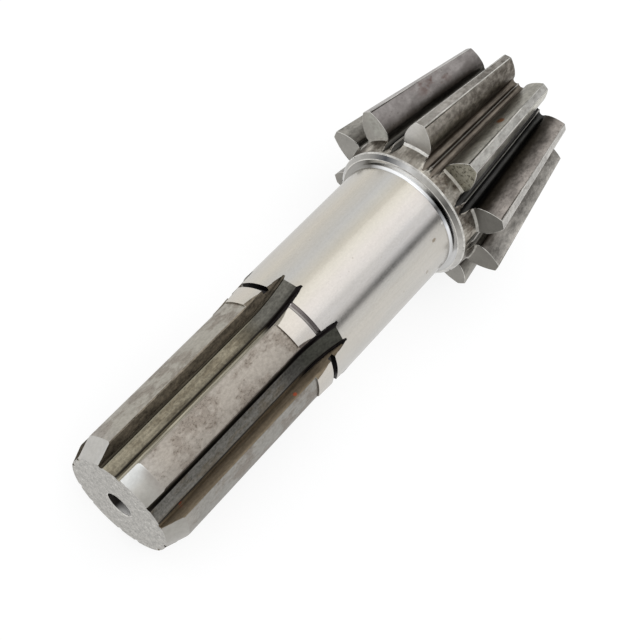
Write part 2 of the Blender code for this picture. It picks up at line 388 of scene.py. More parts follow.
class ShapeTree:
    """A Geometry Nodes tree that is built up from its inputs."""

    def __init__(self, name):
        self.tree = bpy.data.node_groups.new(name, "GeometryNodeTree")
        self.values = {}
        for side in ("INPUT", "OUTPUT"):
            self.new_socket("Shape", "NodeSocketGeometry", side)
        self.ins = self.tree.nodes.new("NodeGroupInput")
        self.outs = self.tree.nodes.new("NodeGroupOutput")

    def new_socket(self, name, kind, side):
        return self.tree.interface.new_socket(name=name, in_out=side, socket_type=kind)

    def named_input(self, name, kind, value):
        socket = self.new_socket(name, kind, "INPUT")
        self.values[socket.identifier] = value
        return self.ins.outputs[socket.identifier]

    def node(self, kind, settings=None, inputs=None):
        node = self.tree.nodes.new(kind)
        for name, value in (settings or {}).items():
            setattr(node, name, value)
        for name, value in (inputs or {}).items():
            for one in value if isinstance(value, list) else [value]:
                if isinstance(one, bpy.types.NodeSocket):
                    self.tree.links.new(one, node.inputs[name])
                else:
                    node.inputs[name].default_value = one
        return node

    def ring_of(self, cutter, count, phase):
        """The cutter repeated evenly round the axis."""
        points = self.node("GeometryNodePoints", inputs={"Count": count}).outputs[0]
        index = self.node("GeometryNodeInputIndex").outputs[0]
        pitch = self.node("ShaderNodeMath", {"operation": "DIVIDE"}, {0: 2 * math.pi, 1: count})
        angle = {0: index, 1: pitch.outputs[0], 2: phase}
        turn = self.node("ShaderNodeMath", {"operation": "MULTIPLY_ADD"}, angle).outputs[0]
        rotation = self.node("ShaderNodeCombineXYZ", inputs={"Z": turn}).outputs[0]
        shape = self.shape_of(cutter)
        copies = {"Points": points, "Instance": shape, "Rotation": rotation}
        return self.real(self.node("GeometryNodeInstanceOnPoints", inputs=copies).outputs[0])

    def shape_of(self, obj):
        return self.node("GeometryNodeObjectInfo", inputs={"Object": obj}).outputs["Geometry"]

    def real(self, shape):
        return self.node("GeometryNodeRealizeInstances", inputs={0: shape}).outputs[0]

    def finish(self, shape, material):
        """End in real geometry with its material, and return the tree."""
        inputs = {"Geometry": self.real(shape), "Material": material}
        faced = self.node("GeometryNodeSetMaterial", inputs=inputs)
        self.tree.links.new(faced.outputs[0], self.outs.inputs[0])
        return self.tree


def made_real(obj, name):
    """Plain mesh object from an object and its modifiers, which is then removed."""
    graph = bpy.context.evaluated_depsgraph_get()
    graph.update()
    mesh = bpy.data.meshes.new_from_object(obj.evaluated_get(graph))
    mesh.name = name
    discard(obj)
    return in_scene(name, mesh)


def cut_shaft(plain_steel):
    """The blank with its spline grooves, tooth spaces and centre hole cut."""
    blank = turned_blank()
    cutters = [groove_cutter(), tooth_space_cutter(), centre_hole_cutter()]
    shape = ShapeTree("cut_pinion_shaft")
    groove = shape.named_input("Groove cutter", "NodeSocketObject", cutters[0])
    groove_count = shape.named_input("Spline count", "NodeSocketInt", SPLINE_COUNT)
    first_groove = SPLINE_PHASE + math.pi / SPLINE_COUNT
    groove_phase = shape.named_input("Groove phase", "NodeSocketFloat", first_groove)
    space = shape.named_input("Tooth space cutter", "NodeSocketObject", cutters[1])
    tooth_count = shape.named_input("Tooth count", "NodeSocketInt", TOOTH_COUNT)
    drill = shape.named_input("Drill", "NodeSocketObject", cutters[2])
    material = shape.named_input("Steel", "NodeSocketMaterial", plain_steel)
    grooves = shape.ring_of(groove, groove_count, groove_phase)
    spaces = shape.ring_of(space, tooth_count, 0.0)
    cuts = {"Mesh 1": shape.ins.outputs[0], "Mesh 2": [grooves, spaces, shape.shape_of(drill)]}
    exactly = {"operation": "DIFFERENCE", "solver": "EXACT"}
    cut = shape.node("GeometryNodeMeshBoolean", exactly, cuts)
    modifier = blank.modifiers.new("cuts", "NODES")
    modifier.node_group = shape.finish(cut.outputs[0], material)
    for identifier, value in shape.values.items():
        modifier[identifier] = value
    shaft = made_real(blank, "shaft_steel")
    for cutter in cutters:
        discard(cutter)
    return shaft


def blank_radius(station, face_station):
    """Radius of the lathe's own surface at a station of a face."""
    if station < END_CHAMFER_LENGTH:
        share = station / END_CHAMFER_LENGTH
        return END_FACE_RADIUS + (SPLINE_RADIUS - END_FACE_RADIUS) * share
    if station > HEEL:
        return HEEL_TIP_RADIUS * (APEX - station) / CONE_LENGTH
    return SPLINE_RADIUS if face_station < SPLINE_LENGTH else JOURNAL_RADIUS


def all_close(values, others, distance):
    return all(abs(value - other) < distance for value, other in zip(values, others))


def zone_of(points, normal):
    """Name of the finish for a face of the cut shaft, from its corners."""
    radii = [math.hypot(p.x, p.y) for p in points]
    stations = [p.z for p in points]
    station = sum(stations) / len(points)
    radius = sum(radii) / len(points)
    if radius < HOLE_RADIUS + ON_SURFACE and station < HOLE_END:
        return "drilled_hole"
    if station < AT_STEP:
        return "end_face"
    blank_radii = [blank_radius(s, station) for s in stations]
    on_blank = all_close(radii, blank_radii, ON_SURFACE)
    ring_floor = [JOURNAL_RADIUS - RING_GROOVE_DEPTH] * len(radii)
    on_ring_floor = all_close(radii, ring_floor, ON_SURFACE)
    milled = not on_blank and not on_ring_floor and abs(normal.z) < ACROSS_AXIS
    if station < GROOVES_END and milled:
        return groove_zone(points, normal, station, radius)
    if station < END_CHAMFER_LENGTH and on_blank:
        return "end_chamfer"
    for end, zone in TURNED_ZONES:
        if station < end:
            return zone
    if station < COLLAR and min(radii) > SHOULDER_FACE_RADIUS - ON_SURFACE:
        return "collar_rim"
    outward = normal.x * points[0].x + normal.y * points[0].y
    tip_radii = [HEEL_TIP_RADIUS * (APEX - s) / CONE_LENGTH for s in stations]
    if all_close(radii, tip_radii, ON_TIP) and station > HEEL and outward > 0:
        return "tip_land"
    if normal.z > ACROSS_AXIS and station > TOE - TOE_FACE_REACH:
        return "toe_face"
    middle = Vector((sum(p.x for p in points), sum(p.y for p in points), 0.0)).normalized()
    if station < HEEL and abs(normal.cross(middle).z) < ROUND_THE_AXIS:
        if normal.z < -HEEL_ACROSS_AXIS:
            return "heel_face"
        return "neck" if normal.z > -NECK_ACROSS_AXIS else "heel_fillet"
    size = (APEX - station) / CONE_LENGTH
    return "tooth_flank" if radius / size > BASE_RADIUS - FLANK_FOOT else "tooth_root"


def groove_zone(points, normal, station, radius):
    """Floor, relieved corner or wall of a spline groove."""
    past = max(0.0, station - FULL_DEPTH_LENGTH)
    lift = GROOVE_CUTTER_RADIUS - math.sqrt(GROOVE_CUTTER_RADIUS ** 2 - past ** 2)
    middle = sum(points, Vector()) / len(points)
    pitch = 2 * math.pi / SPLINE_COUNT
    turn = (math.atan2(middle.y, middle.x) - SPLINE_PHASE) % pitch - pitch / 2
    across = radius * math.sin(turn)
    height = radius * math.cos(turn) - lift
    floor = math.sqrt(max(0.0, SPLINE_ROOT_RADIUS ** 2 - across ** 2))
    if height < floor - BELOW_FLOOR:
        return "groove_relief"
    level = abs(normal.x * middle.y - normal.y * middle.x) < LEVEL_FLOOR * radius
    if level and height < floor + NEAR_FLOOR:
        return "groove_floor"
    return "driven_wall" if across > 0 else "idle_wall"


def share_out_finishes(shaft, finishes):
    """Give each face of the shaft the finish of its zone."""
    names = sorted(finishes)
    mesh = shaft.data
    mesh.materials.clear()
    for name in names:
        mesh.materials.append(finishes[name])
    for face in mesh.polygons:
        points = [mesh.vertices[i].co for i in face.vertices]
        face.material_index = names.index(zone_of(points, face.normal))
    return names


def join_close_points(shaft):
    bm = bmesh.new()
    bm.from_mesh(shaft.data)
    bmesh.ops.remove_doubles(bm, verts=bm.verts, dist=SAME_POINT)
    bmesh.ops.dissolve_degenerate(bm, edges=bm.edges, dist=NO_LENGTH)
    bm.to_mesh(shaft.data)
    bm.free()


def edge_kind(names):
    """Share of the widest rounding and finish for an edge between two zones."""
    for zones, share, finish in EDGES:
        if names.issuperset(zones.split()):
            return share, finish
    return 0.0, "worn_edge"


def round_edges(shaft, names):
    """Break the sharp outer edges, each kind by its own width."""
    bm = bmesh.new()
    bm.from_mesh(shaft.data)
    weights = bm.edges.layers.float.new("bevel_weight_edge")
    for edge in bm.edges:
        if len(edge.link_faces) == 2 and edge.calc_face_angle_signed() > SHARP_ENOUGH_TO_ROUND:
            edge[weights] = edge_kind({names[face.material_index] for face in edge.link_faces})[0]
    bm.to_mesh(shaft.data)
    bm.free()
    bevel = shaft.modifiers.new("edges", "BEVEL")
    bevel.width = EDGE_ROUNDING
    bevel.segments = ROUNDING_SEGMENTS
    bevel.limit_method = "WEIGHT"
    bevel.use_clamp_overlap = False
    bevel.harden_normals = True
    bevel.material = names.index("worn_edge")
    shaft.data.shade_smooth()
    shaft.data.set_sharp_from_angle(angle=SHARP_SHADING)
    shaft = made_real(shaft, "shaft_steel")
    finish_edges(shaft.data, names)
    straighten_normals(shaft.data, names)
    return shaft


def finish_edges(mesh, names):
    """Give each rounded edge its finish, from the zones that meet in it."""
    worn = names.index("worn_edge")
    beside = {}
    for face in mesh.polygons:
        for key in face.edge_keys:
            beside.setdefault(key, []).append(face.index)
    near = {}
    for face in mesh.polygons:
        if face.material_index == worn:
            near[face.index] = {i for key in face.edge_keys for i in beside[key]}
    met = {}
    for index, faces in near.items():
        met[index] = {mesh.polygons[i].material_index for i in faces} - {worn}
    for _ in range(ROUNDING_SEGMENTS - 1):
        met = {
            index: set().union(*(met[i] for i in faces if i in near))
            for index, faces in near.items()
        }
    for index, zones in met.items():
        kind = edge_kind({names[zone] for zone in zones})
        mesh.polygons[index].material_index = names.index(kind[1])


def straighten_normals(mesh, names):
    """Point the normals of round and flat faces straight out, whatever is cut beside them."""
    rounds = {names.index(name) for name in ("journal", "spline_land", "ring_groove")}
    flats = {names.index(name) for name in ("toe_face", "end_face")}
    normals = [corner.vector.copy() for corner in mesh.corner_normals]
    for face in mesh.polygons:
        middle = Vector((face.center.x, face.center.y, 0.0)).normalized()
        is_round = face.material_index in rounds and face.normal.dot(middle) > ROUND
        is_flat = face.material_index in flats and abs(face.normal.z) > FLAT
        for index in face.loop_indices if is_round or is_flat else ():
            point = mesh.vertices[mesh.loops[index].vertex_index].co
            outwards = Vector((point.x, point.y, 0.0)).normalized()
            normals[index] = outwards if is_round else face.normal.copy()
    mesh.normals_split_custom_set(normals)


# ---- Finishes ----

# Angles on the shaft as it lies, in degrees from its top line: the two grooves and the land
# between them that the photograph shows best, and the uppermost teeth
FRONT_LAND = math.degrees(SPLINE_PHASE)
FAR_GROOVE = FRONT_LAND - 180 / SPLINE_COUNT
NEAR_GROOVE = FRONT_LAND + 180 / SPLINE_COUNT
TEETH = {"left": -90, "far": -54, "upper": -18, "front": 18, "near": 54, "low": 90}

# How far a tooth's colour reaches to each side, and where that of the rest starts
TOOTH_REACH = 17
REST_OF_TEETH = 109


def grey(level, warm=0.0):
    """Linear colour of steel: its level, and how far it goes from neutral to straw."""
    return (level * (1.0 + 0.5 * warm), level, level * (1.0 - warm))


class Value:
    """A socket of a finish, used in Python expressions."""

    def __init__(self, finish, socket):
        self.finish = finish
        self.socket = socket

    def math(self, operation, *others):
        return self.finish.math(operation, self, *others)

    def __add__(self, other):
        return self.math("ADD", other)

    __radd__ = __add__

    def __mul__(self, other):
        return self.math("MULTIPLY", other)

    __rmul__ = __mul__

    def __sub__(self, other):
        return self.math("SUBTRACT", other)

    def __rsub__(self, other):
        return self.finish.math("SUBTRACT", other, self)

    def __truediv__(self, other):
        return self.math("DIVIDE", other)


class Finish:
    """One steel finish: its material, its colour so far, and the nodes that make it."""

    def __init__(self, name):
        self.material = bpy.data.materials.new(name)
        self.material.use_nodes = True
        self.tree = self.material.node_tree
        self.shader = self.tree.nodes["Principled BSDF"]
        self.feed("Metallic", 1.0)
        self.tone = None
        coordinates = self.node("ShaderNodeTexCoord", output="Object")
        self.point = self.node(
            "ShaderNodeMapping",
            {"vector_type": "TEXTURE"},
            {"Vector": coordinates, "Location": PLACE, "Rotation": TURN, "Scale": (MM, MM, MM)},
        )
        parts = self.node("ShaderNodeSeparateXYZ", inputs={0: self.point}, output=None)
        self.x, self.y, self.station = [Value(self, socket) for socket in parts.outputs]

    def node(self, kind, settings=None, inputs=None, output=0):
        node = self.tree.nodes.new(kind)
        for name, value in (settings or {}).items():
            if name == "stops":
                self.set_stops(node.color_ramp, value)
            else:
                setattr(node, name, value)
        for name, value in (inputs or {}).items():
            if isinstance(value, Value):
                self.tree.links.new(value.socket, node.inputs[name])
            else:
                node.inputs[name].default_value = value
        return node if output is None else Value(self, node.outputs[output])

    def math(self, operation, *values):
        return self.node("ShaderNodeMath", {"operation": operation}, dict(enumerate(values)))

    def vector_math(self, operation, inputs, output=0):
        return self.node("ShaderNodeVectorMath", {"operation": operation}, inputs, output)

    def feed(self, name, value):
        """Link a value to the shader's input, or set it there where it is the same all over."""
        if isinstance(value, Value):
            self.tree.links.new(value.socket, self.shader.inputs[name])
        else:
            self.shader.inputs[name].default_value = value

    def rim(self, level):
        """How bright the steel is where it is seen at a low angle, 1 being pure white."""
        self.feed("Specular Tint", (level, level, level, 1.0))

    @staticmethod
    def set_stops(ramp, stops):
        while len(ramp.elements) < len(stops):
            ramp.elements.new(0.5)
        for element, (position, *colour) in zip(ramp.elements, stops):
            element.position = position
            element.color = (*(grey(*colour) if len(colour) == 2 else colour), 1.0)

    def radius(self):
        return (self.x * self.x + self.y * self.y).math("SQRT")

    def turn(self):
        """Angle round the axis in degrees, from the top line of the shaft as it lies."""
        return (self.y * -1.0).math("ARCTAN2", self.x * -1.0) * math.degrees(1)

    @staticmethod
    def at_turn(turn, radius=1.0):
        angle = math.radians(turn + 180.0)
        return radius * math.cos(angle), radius * math.sin(angle)

    def round_the_axis(self, underneath, *stops):
        """Colours by that angle, and the colour on the line underneath."""
        share = (self.turn() + 180.0) * (1 / 360)
        stops = [(-180, *underneath), *stops, (180, *underneath)]
        return self.ramp(share, *[((turn + 180.0) / 360, *colour) for turn, *colour in stops])

    def by_tooth(self, rest, **shades):
        """Colours tooth by tooth: those of the uppermost six, and the rest."""
        stops = [(-REST_OF_TEETH, *rest)]
        for name, turn in TEETH.items():
            colour = shades.get(name, rest)
            stops += [(turn - TOOTH_REACH, *colour), (turn + TOOTH_REACH, *colour)]
        return self.round_the_axis(rest, *stops, (REST_OF_TEETH, *rest))

    def across_groove(self):
        """0 on the middle line of a spline groove, and 1 or -1 on those of the lands' sides."""
        return ((self.turn() - NEAR_GROOVE) * math.radians(SPLINE_COUNT)).math("SINE")

    def off_middle_of_gap(self):
        """0 on the ridge of a tooth space and 1 in the middle of a tooth."""
        return (self.turn() * math.radians(TOOTH_COUNT / 2)).math("SINE").math("ABSOLUTE")

    def tooth_side(self):
        """1 on one side of each tooth and -1 on the other, past its middle line."""
        return (self.turn() * math.radians(TOOTH_COUNT)).math("SINE").math("SIGN") * -1.0

    def facing(self, turn, half_width, soft=0.4):
        """1 on the side of the shaft at that angle, and 0 past the half width, in degrees."""
        x, y = self.at_turn(turn)
        towards = (self.x * x + self.y * y) / self.radius()
        edge = math.cos(math.radians(half_width))
        full = math.cos(math.radians(half_width * (1.0 - soft)))
        return self.between(towards, edge, full)

    def along(self, start, end):
        """0 at one station and 1 at the other, with a smooth change."""
        return self.between(self.station, start, end)

    def tooth_height(self):
        """Radius in the heel section, whatever the station: 20 at the root and 29.3 at the tip."""
        return self.radius() * CONE_LENGTH / (APEX - self.station)

    def scaled(self, across, along):
        """The point, with its pattern finer or coarser across and along the shaft."""
        return self.vector_math("MULTIPLY", {0: self.point, 1: (across, across, along)})

    def noise(self, across, along, detail=3.0, rough=0.55):
        """Noise from 0 to 1, with about so many cells per millimetre across and along."""
        pattern = {"Vector": self.scaled(across, along), "Scale": 1.0}
        pattern.update({"Detail": detail, "Roughness": rough})
        return self.node("ShaderNodeTexNoise", inputs=pattern)

    def rings(self, per_millimetre):
        """Rings left by the turning tool, light and dark by their distance from the axis."""
        turns = {"W": self.radius() * per_millimetre, "Scale": 1.0}
        return self.node("ShaderNodeTexNoise", {"noise_dimensions": "1D"}, turns)

    def blotches(self, across, along, detail=4.0, rough=0.65):
        """Noise spread out to most of 0 to 1, with soft ends."""
        return self.between(self.noise(across, along, detail, rough), 0.3, 0.7)

    def specks(self, across, along, size):
        """Round dots, 1 in the middle of each and 0 past its size, a share of the cell."""
        cells = {"Vector": self.scaled(across, along), "Scale": 1.0}
        distance = self.node("ShaderNodeTexVoronoi", inputs=cells)
        return self.between(distance, size, size * 0.4)

    def between(self, value, low, high):
        """0 at low and 1 at high, with a smooth change, also where low is the larger."""
        if low > high:
            return 1.0 - self.between(value, high, low)
        ends = {"Value": value, "From Min": low, "From Max": high}
        return self.node("ShaderNodeMapRange", {"interpolation_type": "SMOOTHSTEP"}, ends)

    def patch(self, station, turn, radius, length, width, edge=0.5):
        """A soft spot on the surface at a station and an angle, 1 in its middle."""
        centre = (*self.at_turn(turn, radius), station)
        offset = self.vector_math("SUBTRACT", {0: self.point, 1: centre})
        sized = self.vector_math("MULTIPLY", {0: offset, 1: (2 / width, 2 / width, 2 / length)})
        reach = self.vector_math("LENGTH", {0: sized}, output="Value")
        return self.between(reach, 1.0, 1.0 - edge)

    def shaded(self, colour, factor):
        """The colour, lighter or darker by a factor."""
        return self.vector_math("SCALE", {0: colour, "Scale": factor})

    def mix(self, share, first, second):
        """From the first colour to the second."""
        first, second = [c if isinstance(c, Value) else (*c, 1.0) for c in (first, second)]
        inputs = {0: share, 6: first, 7: second}
        return self.node("ShaderNodeMix", {"data_type": "RGBA"}, inputs, output=2)

    def ramp(self, value, *stops):
        """Colours by a value. A stop is its place and a grey, or its place and a colour."""
        return self.node("ShaderNodeValToRGB", {"stops": stops}, {"Fac": value})

    def shade(self, factor):
        """Make the finish's colour lighter or darker."""
        self.tone = self.shaded(self.tone, factor)

    def stain(self, share, colour):
        """Lay a colour over the finish's own, as thick as the share."""
        self.tone = self.mix(share, self.tone, colour)

    def surface(self, roughness, height=None, depth=0.0):
        """Feed the shader. Depth is the height pattern's full size in millimetres."""
        self.feed("Base Color", self.tone)
        self.feed("Roughness", roughness)
        if height is not None:
            relief = {"Height": height, "Distance": depth * MM, "Strength": 1.0}
            self.feed("Normal", self.node("ShaderNodeBump", inputs=relief))


def red_specks(f):
    """Two specks of red primer in one groove."""
    specks = f.patch(7.4, 50.2, 14.25, 1.5, 1.3) + f.patch(47.0, 55.1, 16.2, 1.4, 1.3)
    f.stain(specks, (0.42, 0.10, 0.05))


def journal(f):
    """Ground satin steel, straw-coloured in some bands along it and bluish in others, and lighter
    and darker round it by angle, a painted reflection.
    """
    f.rim(0.85)
    # Painted reflection: colour by angle round the axis, with a light band at 25 degrees and a
    # darker one at 30.
    f.tone = f.round_the_axis(
        (0.52, 0.06),
        (-74, 0.52, 0.07), (-54, 0.53, 0.09), (-43, 0.51, 0.13), (-24, 0.53, 0.04),
        (-11, 0.54, 0.15), (-3, 0.53, 0.12), (7, 0.56, 0.525, 0.50), (17, 0.54, 0.52, 0.51),
        (25, 0.60, 0.58, 0.57), (30, 0.48, 0.465, 0.455), (40, 0.52, 0.06), (48, 0.50, 0.08),
        (67, 0.52, 0.06),
    )
    streaks = f.noise(1.5, 0.02, detail=4, rough=0.6)
    cloud = f.noise(0.2, 0.1, detail=3)
    grain = f.noise(1.7, 1.5, detail=4, rough=0.7)
    warm = f.blotches(0.12, 0.035, detail=3)
    pale = f.blotches(0.3, 0.012, detail=3)
    band = f.along(61.0, 58.0)
    f.stain(warm * 0.35 + band * 0.4, (0.56, 0.515, 0.455))
    f.shade(0.76 + streaks * 0.10 + cloud * 0.10 + grain * 0.24 + pale * 0.04)
    dots = f.specks(0.33, 0.33, 0.1) * f.between(f.noise(0.1, 0.08), 0.52, 0.62)
    f.stain(dots * 0.5, (0.20, 0.15, 0.10))
    stains = f.patch(105.3, 45.7, 17.5, 2.0, 1.3) + f.patch(100.2, 69.1, 17.5, 1.6, 1.5) * 0.6
    f.stain(stains * 0.6, (0.22, 0.16, 0.095))
    # Painted highlight: a small near-white spot by the undercut.
    f.stain(f.patch(110.2, 39.4, 17.5, 1.1, 1.0), (0.85, 0.83, 0.78))
    lines = f.noise(0.03, 7.0, detail=2)
    f.surface(0.20 + cloud * 0.05 + stains * 0.2, lines, 0.002)


def spline_land(f):
    """Dull grey lands with brown patches of fine specks."""
    f.rim(0.8)
    f.tone = f.round_the_axis(
        (0.30, 0.12),
        (-80, 0.30, 0.12), (-60, 0.315, 0.13), (-38, 0.315, 0.13), (-10, 0.295, 0.266, 0.232),
        (30, 0.295, 0.266, 0.232), (55, 0.25, 0.08), (85, 0.25, 0.08),
    )
    cloud = f.blotches(0.2, 0.12)
    stain = f.between(cloud, 0.35, 0.8)
    fine = f.blotches(1.3, 1.0)
    f.shade(1.14)
    f.stain(stain * 0.55, (0.205, 0.17, 0.14))
    f.stain(f.along(11.0, 5.5) * 0.5, (0.37, 0.345, 0.315))
    f.shade(0.88 + fine * 0.24)
    fleck = f.between(f.blotches(1.7, 1.4, detail=5, rough=0.75), 0.55, 0.9)
    stained = stain * (0.25 + f.facing(FRONT_LAND, 24.0) * 0.3)
    f.stain(fleck * (0.1 + stained), (0.085, 0.068, 0.048))
    f.surface(0.34 + cloud * 0.08, fine, 0.008)


def groove_floor(f):
    """Milled floors, olive-grey with fine grain, light and fresh where the cutter ran out, with
    painted shade: darker in the near groove, on the driven side of the far one, and in a black
    line in the corner by the driven wall.
    """
    f.rim(0.8)
    streaks = f.blotches(1.3, 0.06)
    mottle = f.blotches(0.4, 0.14)
    grain = f.blotches(1.5, 1.3)
    # Painted shade: the floor in the near groove about half as bright as in the far one.
    f.tone = f.round_the_axis(
        (0.14, 0.16),
        (-49, 0.205, 0.182, 0.135), (0, 0.205, 0.182, 0.135), (12, 0.102, 0.10),
        (70, 0.102, 0.10), (100, 0.14, 0.16),
    )
    fresh = f.along(48.0, 55.0) * (0.1 + f.facing(FAR_GROOVE, 30.0) * 0.9)
    f.stain(fresh * 0.75, (0.235, 0.23, 0.205))
    green = f.along(50.0, 56.0) * f.facing(NEAR_GROOVE, 25.0)
    f.stain(green * 0.6, (0.062, 0.064, 0.048))
    brown = f.between(mottle, 0.35, 0.9) * f.along(52.0, 44.0)
    f.shade(1.15)
    f.stain(brown * 0.5, (0.085, 0.066, 0.042))
    f.shade(0.60 + streaks * 0.30 + grain * 0.5)
    f.shade(1.22 - f.along(43.0, 50.0) * 0.70)
    # Painted shade along the driven side of the far groove's floor.
    shade = f.between(f.across_groove(), 0.1, 0.6) * f.facing(FAR_GROOVE, 25.0)
    f.shade(1.0 - shade * 0.35)
    # Painted shade: a black line in the corner beside the driven wall.
    f.stain(f.between(f.across_groove(), 0.58, 0.68) * 0.9, (0.02, 0.017, 0.015))
    rubbed = f.between(f.across_groove(), -0.62, -0.70) * f.facing(FAR_GROOVE, 25.0)
    rubbed = rubbed * f.along(54.0, 50.0)
    f.stain(rubbed * 0.8, (0.32, 0.30, 0.225))
    f.surface(0.36, streaks + grain, 0.01)


def groove_relief(f):
    """Corners of the grooves: a black line of painted shade beside the floor, then as the land's
    side, all darker in the near groove by painted shade.
    """
    across = f.across_groove()
    streaks = f.blotches(1.2, 0.08)
    # Painted shade: both sides darker past 8 to 12 degrees, in the near groove.
    driven = f.mix(f.between(f.turn(), 8.0, 12.0), (0.30, 0.275, 0.215), (0.145, 0.115, 0.078))
    idle = f.mix(f.between(f.turn(), 8.0, 12.0), (0.09, 0.077, 0.057), (0.03, 0.026, 0.02))
    beside_land = f.between(across, 0.74, 0.82) + f.between(across, -0.80, -0.88)
    # Painted shade: the black line in the corner, olive instead on the idle side of the far
    # groove.
    olive = f.between(across, 0.1, -0.1) * f.between(f.turn(), 12.0, 8.0)
    inner = f.mix(olive, (0.014, 0.012, 0.01), (0.15, 0.13, 0.1))
    level = f.along(54.0, 50.0)
    side = f.mix(f.between(across, -0.1, 0.1), idle, driven)
    # Painted shade: the run-out horns black, except on the idle side of the far groove.
    far_side = f.between(across, -0.1, 0.1) + f.between(f.turn(), 8.0, 12.0)
    horn = f.mix(far_side, (0.085, 0.073, 0.055), (0.014, 0.012, 0.012))
    f.tone = f.mix(level, horn, f.mix(beside_land, inner, side))
    f.shade(0.55 + streaks * 0.9)
    red_specks(f)
    f.surface(0.36)


def driven_wall(f):
    """Land sides that bear the load, rubbed smooth, darker and browner in the near groove, partly
    a painted shade.
    """
    f.rim(0.8)
    # Partly painted shade: darker and browner from 30 degrees on, in the near groove.
    f.tone = f.round_the_axis(
        (0.18, 0.16),
        (-30, 0.27, 0.18), (10, 0.27, 0.18), (30, 0.19, 0.152, 0.105), (80, 0.19, 0.152, 0.105),
        (110, 0.18, 0.16),
    )
    streaks = f.blotches(1.2, 0.06)
    grain = f.blotches(1.3, 1.1)
    f.shade(0.65 + streaks * 0.45 + grain * 0.25)
    red_specks(f)
    f.surface(0.3, streaks, 0.004)


def idle_wall(f):
    """Land sides that bear no load, stained dark brown, with painted shade making them darker in
    the near groove; darker again towards the spline end.
    """
    f.rim(0.8)
    mottle = f.blotches(0.45, 0.16)
    fine = f.blotches(1.4, 1.1)
    # Painted shade: darker from 18 degrees on, in the near groove, and below.
    f.tone = f.round_the_axis(
        (0.08, 0.068, 0.05),
        (0, 0.195, 0.166, 0.128), (18, 0.12, 0.10, 0.088), (60, 0.12, 0.10, 0.088),
        (110, 0.08, 0.068, 0.05),
    )
    near_end = f.along(16.0, 3.0)
    f.shade((0.30 + mottle * 0.85 + fine * 0.6) * (1.0 - near_end * 0.5))
    f.surface(0.4, fine, 0.008)


def end_face(f):
    """Faced end with an open grain, light flecks and small dark nicks."""
    grain = f.blotches(0.65, 0.65, detail=5, rough=0.75)
    fine = f.blotches(2.0, 2.0, detail=3)
    flecks = f.specks(0.7, 0.7, 0.26) * f.between(grain, 0.3, 0.6)
    nicks = f.specks(0.42, 0.42, 0.12) * f.between(grain, 0.6, 0.3)
    f.tone = grey(0.375, 0.07)
    f.shade(0.50 + grain * 0.52 + fine * 0.46)
    f.stain(flecks * 0.65, (0.70, 0.69, 0.66))
    f.stain(nicks * 0.7, (0.12, 0.11, 0.09))
    f.surface(0.42, grain + fine * 0.5 - nicks, 0.02)


def end_chamfer(f):
    """Turned cones at the ends of the lands, with a painted highlight at the top."""
    # Painted highlight: near-white at -6 degrees, falling off to each side.
    f.tone = f.round_the_axis(
        (0.40, 0.08),
        (-60, 0.43, 0.06), (-38, 0.46, 0.06), (-6, 0.80, 0.80, 0.78), (2, 0.66, 0.66, 0.64),
        (10, 0.45, 0.08), (19, 0.35, 0.09), (30, 0.31, 0.09), (60, 0.31, 0.08),
    )
    cloud = f.blotches(0.3, 0.3)
    grain = f.blotches(1.3, 1.3)
    near_land = f.along(2.6, END_CHAMFER_LENGTH) * f.facing(24.0, 26.0)
    f.stain(near_land * 0.8, (0.34, 0.31, 0.28))
    f.shade(0.90 + cloud * 0.1 + grain * 0.1)
    f.surface(0.28, grain, 0.004)


def drilled_hole(f):
    """Wall of the centre hole, with a painted light on one side of the mouth and painted shade
    inside.
    """
    f.feed("Metallic", 0.35)
    lines = f.noise(0.1, 1.2, detail=3)
    # Painted light near the mouth on the side at 130 degrees, painted shade from 7 mm in.
    bright_side = f.facing(130.0, 70.0, soft=0.9)
    depth = f.along(7.0, 0.0)
    f.tone = f.mix(depth * bright_side, (0.03, 0.025, 0.022), (0.95, 0.93, 0.90))
    f.shade(0.5 + lines)
    f.surface(0.4, lines, 0.01)


def ring_groove(f):
    """Retaining-ring groove, black with painted shade but for two bright lines at its top, painted
    reflections.
    """
    # Painted reflections: bright lines across the groove on its top side, dimmer towards 18
    # degrees, and painted shade round the rest.
    bright_side = f.facing(9.0, 19.0, soft=0.15)
    lines = f.ramp(
        (f.station - BAND_END) / RING_GROOVE_WIDTH,
        (0.0, 0.50, 0.48, 0.45), (0.16, 0.10, 0.09, 0.085), (0.34, 0.12, 0.11, 0.105),
        (0.50, 0.34, 0.32, 0.30), (0.62, 0.18, 0.16, 0.15), (0.76, 0.34, 0.31, 0.30),
        (0.88, 0.60, 0.56, 0.55), (0.96, 0.82, 0.77, 0.76), (1.0, 0.26, 0.24, 0.235),
    )
    lines = f.shaded(lines, 1.1 - f.between(f.turn(), -2.0, 18.0) * 0.4)
    f.tone = f.mix(bright_side, (0.018, 0.016, 0.016), lines)
    f.surface(0.16)


def undercut(f):
    """Round groove before the shoulder, turned bright, with painted reflections: light on the
    upper side and dark from 22 to 70 degrees.
    """
    cloud = f.noise(0.2, 0.5, detail=2)
    # Painted reflections by angle round the axis.
    f.tone = f.round_the_axis(
        (0.5, 0.06),
        (-60, 0.5, 0.06), (-35, 0.75, 0.05), (-16, 0.9, 0.03), (7, 0.8, 0.05), (22, 0.14, 0.06),
        (70, 0.10, 0.06), (84, 0.4, 0.06),
    )
    f.shade(0.8 + cloud * 0.4)
    f.surface(0.12)


